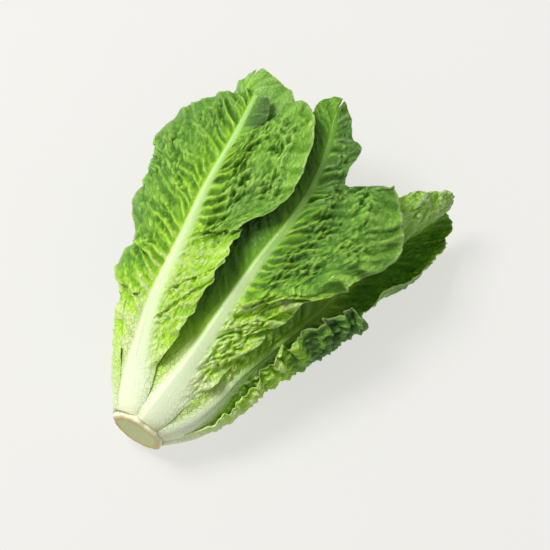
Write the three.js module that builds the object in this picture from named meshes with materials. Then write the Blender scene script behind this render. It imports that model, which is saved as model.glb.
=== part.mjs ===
// A romaine lettuce head, cut off at the butt and lying on its side.
// Millimetres. +X runs from the cut butt to the leaf tips, +Y is the head's left, +Z is up, and z = 0 is
// the table.
//
// The head is a stem stub with leaves round it. Each leaf is one closed solid: a thick rib that thins
// towards the tip, and a waved blade on both sides of it. The leaves lie on shells that are nested round
// the head's long axis, so a point of a leaf is given by x, by an angle round the axis (0 right, 90 up,
// 180 left, 270 down) and by a layer, which is 1 on the outermost shell and 0 on the axis. Leaves on
// different layers stay clear of each other.
import * as THREE from "three";
import { mergeVertices } from "three/addons/utils/BufferGeometryUtils.js";

// Driving dimensions of the whole head.
const BUTT_RADIUS = 19.5;
const BUTT_FRONT = -3.5;
const BUTT_BACK = 5;
const BUTT_TILT = 0.1;
const BUTT_HEIGHT = 26.5;
const BUTT_SIDE = -1;
const CONE_RADIUS = 12.6;
const CONE_LENGTH = 44;
const BLADE_THICKNESS = 1.0;

// The outermost shell: half widths, half heights and the height of its axis, each as [x, mm] pairs.
const LEFT_WIDTH = [
  [0, 19], [10, 27], [27, 39], [45, 48], [75, 62], [95, 67], [115, 72], [140, 82], [163, 89], [185, 93],
  [221, 92], [270, 82],
];
const RIGHT_WIDTH = [
  [0, 19], [10, 31], [25, 43], [45, 53], [65, 60], [85, 71], [105, 81], [130, 92], [160, 100], [190, 107],
  [220, 112], [270, 110],
];
const UP_HEIGHT = [[0, 19], [20, 25], [45, 31], [80, 37], [120, 41], [170, 44], [220, 44], [270, 40]];
const DOWN_HEIGHT = [
  [0, 19], [20, 21.5], [45, 26], [80, 31], [120, 34.5], [170, 36.5], [220, 37.5], [270, 37],
];
const AXIS_HEIGHT = [[0, 27], [20, 28], [45, 31], [80, 36], [120, 39], [170, 41], [220, 42], [270, 43]];
const SHELL_SQUARENESS = 2.3;

// The rib by the share of its length: half its width, and how far it stands out of the blade on either
// face.
const RIB_HALF_WIDTH = [
  [0, 10], [0.1, 11.5], [0.2, 11.5], [0.35, 9], [0.5, 6.4], [0.7, 3.8], [0.85, 2.3], [1, 1.2],
];
const RIB_OUTWARD = [[0, 3.0], [0.12, 3.0], [0.3, 2.8], [0.5, 2.0], [0.7, 1.2], [0.85, 0.7], [1, 0.3]];
const RIB_INWARD = [[0, 2.2], [0.12, 2.0], [0.3, 1.4], [0.5, 0.9], [0.7, 0.5], [1, 0.1]];
const RIB_SHARE_OF_REACH = 0.85;

// How a leaf is laid out: the rows crowd towards its tip, they are swept forward only past its base, and a
// tilt out of the shell gathers towards the margin.
const TIP_CROWDING = 1.25;
const SWEEP_RUN_IN = 45;
const RUFFLE_START = 20;
const RUFFLE_FULL = 60;
const TILT_GATHERING = 1.5;
const STEPS_ACROSS = 30;

const radians = (degrees) => (degrees * Math.PI) / 180;

function smooth(from, to, x) {
  const t = Math.min(1, Math.max(0, (x - from) / (to - from)));
  return t * t * (3 - 2 * t);
}

// A smooth curve through the rows of a table, read in one of its columns. A row that leaves a column out
// means 0.
function along(table, x, column = 1) {
  const last = table.length - 1;
  const value = (k) => table[k][column] ?? 0;
  if (x <= table[0][0]) return value(0);
  if (x >= table[last][0]) return value(last);
  let i = 0;
  while (x > table[i + 1][0]) i++;
  const slope = (k) => {
    const [a, b] = [Math.max(0, k - 1), Math.min(last, k + 1)];
    return (value(b) - value(a)) / (table[b][0] - table[a][0]);
  };
  const h = table[i + 1][0] - table[i][0];
  const t = (x - table[i][0]) / h;
  const rise = value(i + 1) - value(i);
  const m0 = slope(i) * h;
  const m1 = slope(i + 1) * h;
  return value(i) + t * (m0 + t * (3 * rise - 2 * m0 - m1 + t * (m0 + m1 - 2 * rise)));
}

// A point of the shell on the given layer.
function onShell(x, angle, layer) {
  const c = Math.cos(angle);
  const s = Math.sin(angle);
  const width = along(c > 0 ? RIGHT_WIDTH : LEFT_WIDTH, x);
  const height = along(s > 0 ? UP_HEIGHT : DOWN_HEIGHT, x);
  const n = SHELL_SQUARENESS;
  const r = layer * (Math.abs(c / width) ** n + Math.abs(s / height) ** n) ** (-1 / n);
  return new THREE.Vector3(x, -c * r, along(AXIS_HEIGHT, x) + s * r);
}

function shellNormal(x, angle, layer) {
  const step = 0.02;
  const round = onShell(x, angle + step, layer).sub(onShell(x, angle - step, layer));
  const forward = onShell(x + 1, angle, layer).sub(onShell(x - 1, angle, layer));
  return round.cross(forward).normalize().negate();
}

// The middle surface of a leaf, as rows of points from one margin across the rib to the other. Each row
// leaves the rib and runs forward like a side vein, along the leaf's shell or tilted out of it.
function leafRows(leaf, rows, halfColumns) {
  const start = leaf.rib[0][0];
  const end = leaf.rib[leaf.rib.length - 1][0];
  const steps = STEPS_ACROSS;
  const out = [];
  for (let i = 0; i <= rows; i++) {
    const t = 1 - (1 - i / rows) ** TIP_CROWDING;
    const ribX = start + (end - start) * t;
    const row = [];
    for (const side of [-1, 1]) {
      const table = side < 0 ? leaf.minus : leaf.plus;
      const sweep = radians(leaf.sweep[side < 0 ? 0 : 1]) * smooth(start, start + SWEEP_RUN_IN, ribX);
      const reach = along(table, ribX, 1);
      const ribHalf = Math.min(along(RIB_HALF_WIDTH, t) * leaf.ribScale, RIB_SHARE_OF_REACH * reach);
      const tiltAtRib = along(table, ribX, 2);
      const tiltAtMargin = along(table, ribX, 3);
      const path = [];
      let x = ribX;
      let angle = radians(along(leaf.rib, ribX, 1));
      let lift = 0;
      for (let k = 0; k <= steps; k++) {
        const share = k / steps;
        const layer = along(leaf.rib, x, 2);
        const height = leaf.ruffle[side < 0 ? 0 : 1] * share ** 2
          * smooth(start + RUFFLE_START, start + RUFFLE_FULL, ribX);
        const turns = (ribX + reach * share * 0.5) / leaf.waveLength;
        const wave = height * Math.sin(turns * 2 * Math.PI + side * leaf.phase);
        const p = onShell(x, angle, layer).addScaledVector(shellNormal(x, angle, layer), lift + wave);
        path.push({ d: share * reach, p });
        const gathered = ((k + 0.5) / steps) ** TILT_GATHERING;
        const tilt = radians(tiltAtRib + (tiltAtMargin - tiltAtRib) * gathered);
        const step = reach / steps;
        const turn = onShell(x, angle + 0.01, layer).distanceTo(onShell(x, angle - 0.01, layer)) / 0.02;
        x += step * Math.sin(sweep);
        angle += (side * step * Math.cos(tilt) * Math.cos(sweep)) / turn;
        lift += step * Math.sin(tilt) * Math.cos(sweep);
      }
      const half = [];
      for (let j = 0; j <= halfColumns; j++) {
        const d = j === 0 ? 0 : ribHalf + (reach - ribHalf) * ((j - 1) / (halfColumns - 1));
        const k = Math.min(steps - 1, Math.floor((d / reach) * steps));
        const f = (d - path[k].d) / (path[k + 1].d - path[k].d);
        half.push({ d, ribHalf, t, p: path[k].p.clone().lerp(path[k + 1].p, f) });
      }
      if (side < 0) row.push(...half.reverse());
      else row.push(...half.slice(1));
    }
    out.push(row);
  }
  return out;
}

// A leaf as a closed solid: the middle surface, thickened along its own normals, most of all at the rib.
function leafGeometry(leaf, rows, halfColumns) {
  const grid = leafRows(leaf, rows, halfColumns);
  const columns = 2 * halfColumns;
  const point = (i, j) => grid[Math.min(rows, Math.max(0, i))][Math.min(columns, Math.max(0, j))].p;
  const faces = [[], []];
  for (let i = 0; i <= rows; i++) {
    for (let j = 0; j <= columns; j++) {
      const across = point(i, j + 1).clone().sub(point(i, j - 1));
      const forward = point(i + 1, j).clone().sub(point(i - 1, j));
      const normal = across.cross(forward).normalize().negate();
      const { d, ribHalf, t, p } = grid[i][j];
      const profile = Math.max(0, 1 - (d / ribHalf) ** 2) * leaf.ribScale;
      const outward = BLADE_THICKNESS / 2 + along(RIB_OUTWARD, t) * profile;
      const inward = BLADE_THICKNESS / 2 + along(RIB_INWARD, t) * profile;
      const front = p.clone().addScaledVector(normal, outward);
      const back = p.clone().addScaledVector(normal, -inward);
      front.z = Math.max(front.z, 0);
      back.z = Math.max(back.z, BLADE_THICKNESS * 0.9);
      faces[0].push(front);
      faces[1].push(back);
    }
  }
  const wide = columns + 1;
  const index = [];
  const quad = (a, b, c, d) => index.push(a, b, c, a, c, d);
  const back = faces[0].length;
  for (let i = 0; i < rows; i++) {
    for (let j = 0; j < columns; j++) {
      const a = i * wide + j;
      quad(a, a + wide, a + wide + 1, a + 1);
      quad(back + a, back + a + 1, back + a + wide + 1, back + a + wide);
    }
  }
  const rim = [];
  for (let j = 0; j < columns; j++) rim.push(j);
  for (let i = 0; i < rows; i++) rim.push(i * wide + columns);
  for (let j = columns; j > 0; j--) rim.push(rows * wide + j);
  for (let i = rows; i > 0; i--) rim.push(i * wide);
  rim.forEach((a, k) => {
    const b = rim[(k + 1) % rim.length];
    quad(a, b, back + b, back + a);
  });
  const positions = new Float32Array([...faces[0], ...faces[1]].flatMap((v) => [v.x, v.y, v.z]));
  const geometry = new THREE.BufferGeometry();
  geometry.setAttribute("position", new THREE.BufferAttribute(positions, 3));
  geometry.setIndex(index);
  return geometry;
}

// The stem stub: the cut disc that shows, and behind it the short cone that the leaves stand round.
function buttGeometry() {
  const profile = [
    [0, BUTT_FRONT], [BUTT_RADIUS - 2.2, BUTT_FRONT], [BUTT_RADIUS - 0.5, BUTT_FRONT + 0.7],
    [BUTT_RADIUS, BUTT_FRONT + 2.2], [BUTT_RADIUS - 0.2, BUTT_BACK], [CONE_RADIUS, BUTT_BACK],
    [CONE_RADIUS * 0.86, 13], [CONE_RADIUS * 0.58, 24], [CONE_RADIUS * 0.3, 36], [0, CONE_LENGTH],
  ].map(([r, x]) => new THREE.Vector2(r, x));
  const lathe = new THREE.LatheGeometry(profile, 40);
  lathe.deleteAttribute("normal");
  lathe.deleteAttribute("uv");
  const geometry = mergeVertices(lathe, 1e-4);
  const position = geometry.getAttribute("position");
  for (let i = 0; i < position.count; i++) {
    const [up, forward, side] = [position.getX(i), position.getY(i), position.getZ(i)];
    const front = Math.min(1, Math.max(0, (BUTT_BACK - forward) / (BUTT_BACK - BUTT_FRONT)));
    position.setXYZ(i, forward + BUTT_TILT * up * front, side + BUTT_SIDE * front, BUTT_HEIGHT + up);
  }
  return geometry;
}

// Every leaf: the rib's path as [x, angle, layer] rows, then for the blade's two sides rows of [x on the
// rib, reach from the rib, tilt out of the shell at the rib, tilt at the margin]. minus is the side of
// falling angle and plus the side of rising angle. sweep is how far the rows lean forward, in degrees, and
// ruffle how high the margin waves, each for the minus and the plus side.
const OUTER = { rows: 26, halfColumns: 5, ribScale: 1, sweep: [44, 44] };
const MIDDLE = { rows: 26, halfColumns: 5, ribScale: 0.8, sweep: [44, 44] };
const HIDDEN = { rows: 20, halfColumns: 4, ribScale: 0.8, sweep: [44, 44] };
const INNER = { rows: 16, halfColumns: 3, ribScale: 0.6, sweep: [40, 40] };
const HEART = { rows: 12, halfColumns: 3, ribScale: 0.38, sweep: [36, 36] };

const LEAVES = {
  outer_leaf_top_left: {
    ...OUTER, sweep: [44, 34], ruffle: [2.5, 2], waveLength: 44, phase: 1,
    rib: [[5.8, 122, 0.86], [30, 124, 0.9], [85, 126, 1], [155, 131, 1], [200, 137, 1], [226, 142, 1]],
    minus: [[5.8, 7.8], [20, 10], [29, 12], [36, 25, -5, 5], [48, 37, -5, 10], [60, 44, -5, 12],
      [80, 51, -5, 14], [100, 51, -8, 20], [115, 53, -8, 24], [130, 62, -10, 28], [145, 72, -10, 30],
      [165, 80, -8, 28], [185, 76, -6, 24], [200, 66, 0, 18], [213, 50, 0, 12], [221, 32, 0, 5], [226, 14]],
    plus: [[5.8, 10], [20, 12], [35, 16], [44, 22], [52, 44], [65, 56, 0, 5], [80, 62, 0, 6],
      [100, 70, 0, 6], [134, 84, 0, 6], [165, 74, 0, 4], [188, 58], [206, 38], [217, 24], [223, 15],
      [226, 8]],
  },
  outer_leaf_top: {
    ...OUTER, ruffle: [2.5, 1], waveLength: 40, phase: 2,
    rib: [[5.8, 64, 0.86], [30, 62, 0.84], [62, 60, 0.82], [120, 57, 0.82], [165, 53, 0.82],
      [198, 57, 0.82], [228, 68, 0.82], [256, 80, 0.84]],
    minus: [[5.8, 6.3], [20, 10], [35, 16], [50, 34, 0, 5], [70, 50, 0, 12], [95, 58, 0, 18],
      [115, 68, 0, 30], [130, 78, 0, 36], [145, 82, 0, 36], [160, 80, 0, 34], [172, 71, 0, 32],
      [180, 52, 0, 22], [188, 30, 0, 5], [200, 21], [222, 22], [240, 22], [250, 17], [256, 8]],
    plus: [[5.8, 7.8], [40, 14], [60, 24], [90, 34], [130, 42], [165, 42], [195, 38], [220, 33], [238, 27],
      [249, 19], [256, 7]],
  },
  outer_leaf_right: {
    ...OUTER, ruffle: [0.8, 2.4], waveLength: 34, phase: 0.5,
    rib: [[5.8, -28, 0.86], [20, -28, 0.95], [40, -28, 1], [100, -30, 1], [130, -28, 1], [164, -25, 1]],
    minus: [[5.8, 9], [20, 12], [35, 16], [60, 26], [90, 31], [118, 21], [136, 12], [152, 6], [164, 3]],
    plus: [[5.8, 6.2], [20, 13], [40, 28], [55, 40], [70, 49], [90, 52], [112, 46], [130, 35], [146, 23],
      [158, 11], [164, 5]],
  },
  outer_leaf_left: {
    ...OUTER, ruffle: [1.6, 0.8], waveLength: 34, phase: 2.5,
    rib: [[5.8, 190, 0.86], [40, 202, 0.93], [100, 206, 0.93], [150, 204, 0.93], [190, 203, 0.93]],
    minus: [[5.8, 10], [25, 22], [40, 40], [65, 58], [100, 68], [140, 62], [168, 38], [184, 16], [190, 4]],
    plus: [[5.8, 11], [35, 16], [60, 28], [100, 38], [140, 38], [168, 26], [184, 12], [190, 4]],
  },
  outer_leaf_under: {
    ...OUTER, ruffle: [0.3, 0.3], waveLength: 44, phase: 0,
    rib: [[5.8, 268, 0.86], [60, 270, 1.09], [85, 270, 1.13], [120, 268, 1.13], [180, 267, 1.13],
      [218, 266, 1.13]],
    minus: [[5.8, 11], [35, 16], [60, 32], [100, 46], [145, 52], [180, 40], [205, 20], [218, 4]],
    plus: [[5.8, 9.5], [35, 16], [60, 32], [100, 46], [145, 52], [180, 40], [205, 20], [218, 4]],
  },
  middle_leaf_left: {
    ...MIDDLE, ruffle: [1.5, 1.2], waveLength: 42, phase: 1.5,
    rib: [[15, 150, 0.5], [80, 150, 0.7], [160, 150, 0.7], [210, 156, 0.74], [254, 163, 0.82]],
    minus: [[15, 6.4], [45, 14], [80, 34], [130, 46], [180, 54], [208, 54], [230, 46], [245, 32], [252, 18],
      [254, 6]],
    plus: [[15, 7], [45, 12], [80, 28], [130, 40], [180, 42], [208, 34], [230, 26], [245, 18], [252, 10],
      [254, 5]],
  },
  middle_leaf_right: {
    ...MIDDLE, halfColumns: 7, ruffle: [1.2, 1.2], waveLength: 42, phase: 0.3,
    rib: [[5.8, 18, 0.84], [20, 15, 0.8], [40, 13, 0.74], [60, 12, 0.72], [100, 9, 0.72], [160, 0, 0.72],
      [205, -6, 0.8], [225, -5, 0.86], [240, -4, 0.93]],
    minus: [[5.8, 6.2], [20, 9], [45, 18], [80, 26], [105, 26, 0, 10], [117, 27, 20, 60],
      [126, 37, 35, 130], [136, 49, 35, 180], [148, 54, 30, 195], [175, 52, 30, 195], [200, 44, 30, 195],
      [218, 32, 30, 180], [231, 20, 30, 120], [240, 6]],
    plus: [[5.8, 6.3], [20, 10], [45, 24], [80, 38], [130, 42], [170, 48], [196, 54], [212, 45], [227, 30],
      [236, 17], [240, 7]],
  },
  middle_leaf_top: {
    ...HIDDEN, ruffle: [1, 1], waveLength: 40, phase: 0.8,
    rib: [[18, 88, 0.56], [80, 84, 0.6], [160, 86, 0.6], [236, 92, 0.6]],
    minus: [[18, 7], [45, 12], [80, 28], [130, 44], [180, 50], [215, 32], [230, 14], [236, 4]],
    plus: [[18, 7], [45, 12], [80, 28], [130, 44], [180, 50], [215, 32], [230, 14], [236, 4]],
  },
  middle_leaf_under: {
    ...HIDDEN, ruffle: [1, 1], waveLength: 40, phase: 1.9,
    rib: [[18, 244, 0.58], [80, 246, 0.82], [160, 244, 0.82], [228, 240, 0.82]],
    minus: [[18, 7], [45, 12], [80, 30], [130, 46], [180, 50], [210, 32], [224, 12], [228, 4]],
    plus: [[18, 6], [30, 7], [45, 12], [80, 26], [130, 38], [180, 40], [210, 26], [224, 12], [228, 4]],
  },
  middle_leaf_low_right: {
    ...HIDDEN, ruffle: [1, 1], waveLength: 40, phase: 2.7,
    rib: [[18, 318, 0.58], [80, 316, 0.6], [160, 320, 0.6], [218, 322, 0.6]],
    minus: [[18, 6], [30, 7], [45, 12], [80, 28], [130, 42], [170, 44], [200, 28], [214, 12], [218, 4]],
    plus: [[18, 7], [45, 12], [80, 26], [130, 38], [170, 40], [200, 26], [214, 12], [218, 4]],
  },
  inner_leaf_top: {
    ...INNER, ruffle: [0.8, 0.8], waveLength: 36, phase: 0.4,
    rib: [[30, 118, 0.3], [90, 118, 0.48], [150, 116, 0.48], [208, 114, 0.48]],
    minus: [[30, 5], [60, 14], [100, 28], [150, 36], [185, 24], [202, 10], [208, 4]],
    plus: [[30, 5], [60, 14], [100, 28], [150, 36], [185, 24], [202, 10], [208, 4]],
  },
  inner_leaf_under: {
    ...INNER, ruffle: [0.8, 0.8], waveLength: 36, phase: 1.4,
    rib: [[30, 292, 0.44], [90, 290, 0.48], [150, 290, 0.48], [204, 290, 0.48]],
    minus: [[30, 5], [60, 14], [100, 28], [150, 36], [182, 24], [198, 10], [204, 4]],
    plus: [[30, 5], [60, 14], [100, 28], [150, 36], [182, 24], [198, 10], [204, 4]],
  },
  inner_leaf_right: {
    ...INNER, ruffle: [0.8, 0.8], waveLength: 36, phase: 2.2,
    rib: [[30, 24, 0.28], [90, 20, 0.37], [150, 18, 0.37], [190, 16, 0.37]],
    minus: [[30, 5], [60, 12], [100, 24], [140, 30], [170, 20], [184, 9], [190, 4]],
    plus: [[30, 5], [60, 12], [100, 24], [140, 30], [170, 20], [184, 9], [190, 4]],
  },
  inner_leaf_left: {
    ...INNER, ruffle: [0.8, 0.8], waveLength: 36, phase: 0.1,
    rib: [[30, 204, 0.3], [90, 202, 0.37], [150, 200, 0.37], [194, 198, 0.37]],
    minus: [[30, 5], [60, 12], [100, 24], [140, 30], [170, 20], [188, 9], [194, 4]],
    plus: [[30, 5], [60, 12], [100, 24], [140, 30], [170, 20], [188, 9], [194, 4]],
  },
  heart_leaf_upper: {
    ...HEART, ruffle: [0.4, 0.4], waveLength: 30, phase: 0.6,
    rib: [[42, 80, 0.16], [90, 84, 0.24], [150, 86, 0.24]],
    minus: [[42, 3.5], [70, 9], [105, 14], [130, 9], [146, 4], [150, 3]],
    plus: [[42, 3.5], [70, 9], [105, 14], [130, 9], [146, 4], [150, 3]],
  },
  heart_leaf_lower: {
    ...HEART, ruffle: [0.4, 0.4], waveLength: 30, phase: 1.6,
    rib: [[42, 260, 0.25], [90, 262, 0.25], [138, 266, 0.24]],
    minus: [[42, 3.5], [70, 9], [100, 13], [122, 9], [134, 4], [138, 3]],
    plus: [[42, 3.5], [70, 9], [100, 13], [122, 9], [134, 4], [138, 3]],
  },
};

const head = new THREE.Group();
head.name = "romaine_lettuce_head";

function addPiece(name, geometry, colour, roughness) {
  const material = new THREE.MeshStandardMaterial({ color: colour, roughness, metalness: 0 });
  const mesh = new THREE.Mesh(geometry, material);
  mesh.name = name;
  head.add(mesh);
}

addPiece("butt", buttGeometry(), 0xc6cc96, 0.55);
for (const [name, leaf] of Object.entries(LEAVES)) {
  addPiece(name, leafGeometry(leaf, leaf.rows, leaf.halfColumns), 0x76a83c, 0.5);
}

// The origin is below the middle of the whole head.
const box = new THREE.Box3().setFromObject(head);
const middle = box.getCenter(new THREE.Vector3());
for (const piece of head.children) piece.geometry.translate(-middle.x, -middle.y, -box.min.z);

export default head;
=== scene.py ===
# A romaine lettuce head, cut off at the butt and lying on its side, with the finish of its leaves.
import math

import bmesh
import bpy
import numpy as np
from mathutils import Matrix, Vector


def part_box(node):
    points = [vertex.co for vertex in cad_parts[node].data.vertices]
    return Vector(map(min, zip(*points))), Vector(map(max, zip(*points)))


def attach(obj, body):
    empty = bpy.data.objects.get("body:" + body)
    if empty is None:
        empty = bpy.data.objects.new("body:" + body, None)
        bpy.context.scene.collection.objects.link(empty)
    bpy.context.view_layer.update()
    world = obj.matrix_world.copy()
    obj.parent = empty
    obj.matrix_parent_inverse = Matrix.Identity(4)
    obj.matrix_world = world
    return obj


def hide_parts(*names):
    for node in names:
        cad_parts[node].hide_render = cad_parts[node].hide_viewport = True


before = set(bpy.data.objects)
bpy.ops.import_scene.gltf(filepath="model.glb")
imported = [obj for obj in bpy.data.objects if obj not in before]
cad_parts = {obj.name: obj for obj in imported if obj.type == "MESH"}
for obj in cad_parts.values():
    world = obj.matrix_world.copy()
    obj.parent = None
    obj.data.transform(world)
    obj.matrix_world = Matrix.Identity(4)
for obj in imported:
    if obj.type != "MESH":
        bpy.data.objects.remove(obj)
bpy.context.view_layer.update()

# Camera
# It looks steeply down on the lying head, which points away from it to the upper right, from about 1.5 m,
# so that the head is seen almost without perspective.
BUTT_NECK = 0.044
BUTT_RADIUS = 0.0193
HEAD_AXIS_HEIGHT = 0.027
butt_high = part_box("butt")[1]
head_start = Vector((butt_high.x - BUTT_NECK, butt_high.y - BUTT_RADIUS, 0))

LOOK_DOWN = math.radians(70)
HEAD_TURN = math.radians(31)
CAMERA_DISTANCE = 1.5
VIEW_WIDTH = 0.3795
VIEW_TO_RIGHT = 0.0945
VIEW_TO_TOP = 0.1056
SENSOR_WIDTH = 36
along_head = Vector((math.cos(HEAD_TURN), math.sin(HEAD_TURN), 0))
to_right = Vector((math.sin(HEAD_TURN), -math.cos(HEAD_TURN), 0))
to_top = along_head * math.sin(LOOK_DOWN) + Vector((0, 0, math.cos(LOOK_DOWN)))
to_camera = Vector((0, 0, math.sin(LOOK_DOWN))) - along_head * math.cos(LOOK_DOWN)
head_axis = head_start + Vector((0, 0, HEAD_AXIS_HEIGHT))
middle_of_view = head_axis + to_right * VIEW_TO_RIGHT + to_top * VIEW_TO_TOP

camera_data = bpy.data.cameras.new("camera")
camera_data.sensor_width = SENSOR_WIDTH
camera_data.lens = SENSOR_WIDTH * CAMERA_DISTANCE / VIEW_WIDTH
camera_data.clip_start = 0.05
camera_data.clip_end = 20
camera = bpy.data.objects.new("camera", camera_data)
camera.matrix_world = Matrix.Translation(middle_of_view + to_camera * CAMERA_DISTANCE) @ Matrix(
    (to_right, to_top, to_camera)).transposed().to_4x4()
bpy.context.scene.collection.objects.link(camera)
bpy.context.scene.camera = camera


# Floor and light
# A wide floor of pale paper that also glows, under a large soft light from the upper left, in a room that is
# evenly bright all round.
def set_inputs(shader, **values):
    """Sets sockets of a shader by name, with underscores for the spaces."""
    for name, value in values.items():
        shader.inputs[name.replace("_", " ")].default_value = value


FLOOR_HALF_WIDTH = 6
FLOOR_COLOUR = (0.19, 0.188, 0.18, 1)
FLOOR_GLOW = (0.93, 0.92, 0.885, 1)
FLOOR_GLOW_STRENGTH = 0.695
ROOM_COLOUR = (0.97, 0.98, 1.0, 1)
ROOM_STRENGTH = 0.44
SOFTBOX_SIZE = 1.3
SOFTBOX_POWER = 86
SOFTBOX_TO_LEFT = 1.4
SOFTBOX_TO_TOP = 0.9
SOFTBOX_ABOVE = 2.0

paper = bpy.data.materials.new("paper")
paper.use_nodes = True
set_inputs(paper.node_tree.nodes["Principled BSDF"], Base_Color=FLOOR_COLOUR, Roughness=0.95,
           Specular_IOR_Level=0.0, Emission_Color=FLOOR_GLOW, Emission_Strength=FLOOR_GLOW_STRENGTH)
floor_mesh = bpy.data.meshes.new("floor")
floor_form = bmesh.new()
bmesh.ops.create_grid(floor_form, x_segments=1, y_segments=1, size=FLOOR_HALF_WIDTH)
floor_form.to_mesh(floor_mesh)
floor_form.free()
floor_mesh.materials.append(paper)
floor = bpy.data.objects.new("floor", floor_mesh)
bpy.context.scene.collection.objects.link(floor)

room = bpy.data.worlds.new("room")
room.use_nodes = True
set_inputs(room.node_tree.nodes["Background"], Color=ROOM_COLOUR, Strength=ROOM_STRENGTH)
bpy.context.scene.world = room

softbox_data = bpy.data.lights.new("softbox", "AREA")
softbox_data.shape = "DISK"
softbox_data.size = SOFTBOX_SIZE
softbox_data.energy = SOFTBOX_POWER
softbox = bpy.data.objects.new("softbox", softbox_data)
above_view = middle_of_view + Vector((0, 0, SOFTBOX_ABOVE))
softbox.location = above_view - to_right * SOFTBOX_TO_LEFT + to_top * SOFTBOX_TO_TOP
softbox.rotation_mode = "QUATERNION"
softbox.rotation_quaternion = (softbox.location - middle_of_view).to_track_quat("Z", "Y")
bpy.context.scene.collection.objects.link(softbox)
bpy.context.scene.view_settings.view_transform = "Standard"


# Butt
# The cut stem: a pale green disc of wet pith inside a browned rim, where a knife took the head off its root,
# and behind it a short cone that the leaves grow from.
# Sizes of the butt are in millimetres from the head's start.
BUTT_FRONT = -3.5
BUTT_BACK = 5.0
BUTT_TILT = 0.1
BUTT_SIDE = -1.0
BUTT_HEIGHT = 26.5
BUTT_FACE_RADIUS = 19.5
# Each pair is a radius and its place along the stem.
CONE_PROFILE = [(15, 6), (11, 13), (7, 24), (3.6, 36), (0, 44)]
PITH_COLOURS = [
    (0.0, (0.48, 0.55, 0.19)), (0.42, (0.51, 0.58, 0.22)), (0.76, (0.58, 0.62, 0.27)),
    (0.88, (0.56, 0.50, 0.18)), (0.95, (0.58, 0.42, 0.17)), (1.0, (0.66, 0.54, 0.27))]
STEM_SKIN_COLOURS = [(0.3, (0.66, 0.70, 0.46)), (0.7, (0.78, 0.78, 0.55))]
HILLS_BEFORE_REPEAT = 64


def rolling(x, y, seed):
    """Soft random hills about one unit across, from -1 to 1."""
    count = HILLS_BEFORE_REPEAT
    lean = np.random.default_rng(seed).uniform(0, 2 * math.pi, (count, count))
    column, row = np.floor(x).astype(int), np.floor(y).astype(int)
    fx, fy = x - column, y - row
    blend_x = fx ** 3 * (fx * (fx * 6 - 15) + 10)
    blend_y = fy ** 3 * (fy * (fy * 6 - 15) + 10)
    height = 0
    for i in (0, 1):
        for j in (0, 1):
            angle = lean[(column + i) % count, (row + j) % count]
            slope = np.cos(angle) * (fx - i) + np.sin(angle) * (fy - j)
            height = height + slope * (blend_x if i else 1 - blend_x) * (blend_y if j else 1 - blend_y)
    return height * 1.5


def add_node(tree, kind, inputs=(), **settings):
    """A shader node with its settings, and each input joined to a socket or set to a value."""
    made = tree.nodes.new("ShaderNode" + kind)
    for name, value in settings.items():
        setattr(made, name, value)
    for name, value in dict(inputs).items():
        if isinstance(value, bpy.types.NodeSocket):
            tree.links.new(value, made.inputs[name])
        else:
            made.inputs[name].default_value = value
    return made


def add_ramp(tree, factor, stops):
    """A colour ramp through (place, colour) stops."""
    made = add_node(tree, "ValToRGB", {"Fac": factor})
    while len(made.color_ramp.elements) < len(stops):
        made.color_ramp.elements.new(0.5)
    for element, (place, colour) in zip(made.color_ramp.elements, stops):
        element.position = place
        element.color = (*colour, 1)
    return made.outputs["Color"]


def mix_colours(tree, factor, first, second):
    """A mix of two colours, each a socket or red, green and blue."""
    made = add_node(tree, "Mix", {"Factor": factor}, data_type="RGBA")
    for socket, value in ((made.inputs[6], first), (made.inputs[7], second)):
        if isinstance(value, bpy.types.NodeSocket):
            tree.links.new(value, socket)
        else:
            socket.default_value = (*value, 1)
    return made.outputs[2]


def calculate(tree, operation, first, second=0.0, limited=False, third=0.0):
    """The result of a sum on sockets or numbers, kept between 0 and 1 where it is limited."""
    made = add_node(tree, "Math", operation=operation, use_clamp=limited)
    for socket, value in zip(made.inputs, (first, second, third)):
        if isinstance(value, bpy.types.NodeSocket):
            tree.links.new(value, socket)
        else:
            socket.default_value = value
    return made.outputs[0]


def scaled(tree, value, factor, base):
    """The value times a factor, added to a base."""
    return calculate(tree, "MULTIPLY_ADD", value, factor, third=base)


def places_of(mesh):
    """The place of each vertex, one to a row."""
    places = np.empty(len(mesh.vertices) * 3)
    mesh.vertices.foreach_get("co", places)
    return places.reshape(-1, 3)


def keep_values(mesh, **values):
    """Keeps one number per vertex under each name, for the materials to read."""
    for name, numbers in values.items():
        kept = mesh.attributes.new(name, "FLOAT", "POINT")
        kept.data.foreach_set("value", np.ascontiguousarray(numbers, dtype=np.float32).ravel())


def finish_piece(name, mesh, material):
    """Puts a finished mesh in the place of the frame's piece of that name."""
    mesh.materials.append(material)
    mesh.polygons.foreach_set("use_smooth", np.ones(len(mesh.polygons), bool))
    piece = bpy.data.objects.new(name + "_finish", mesh)
    bpy.context.scene.collection.objects.link(piece)
    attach(piece, "root")
    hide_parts(name)


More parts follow.
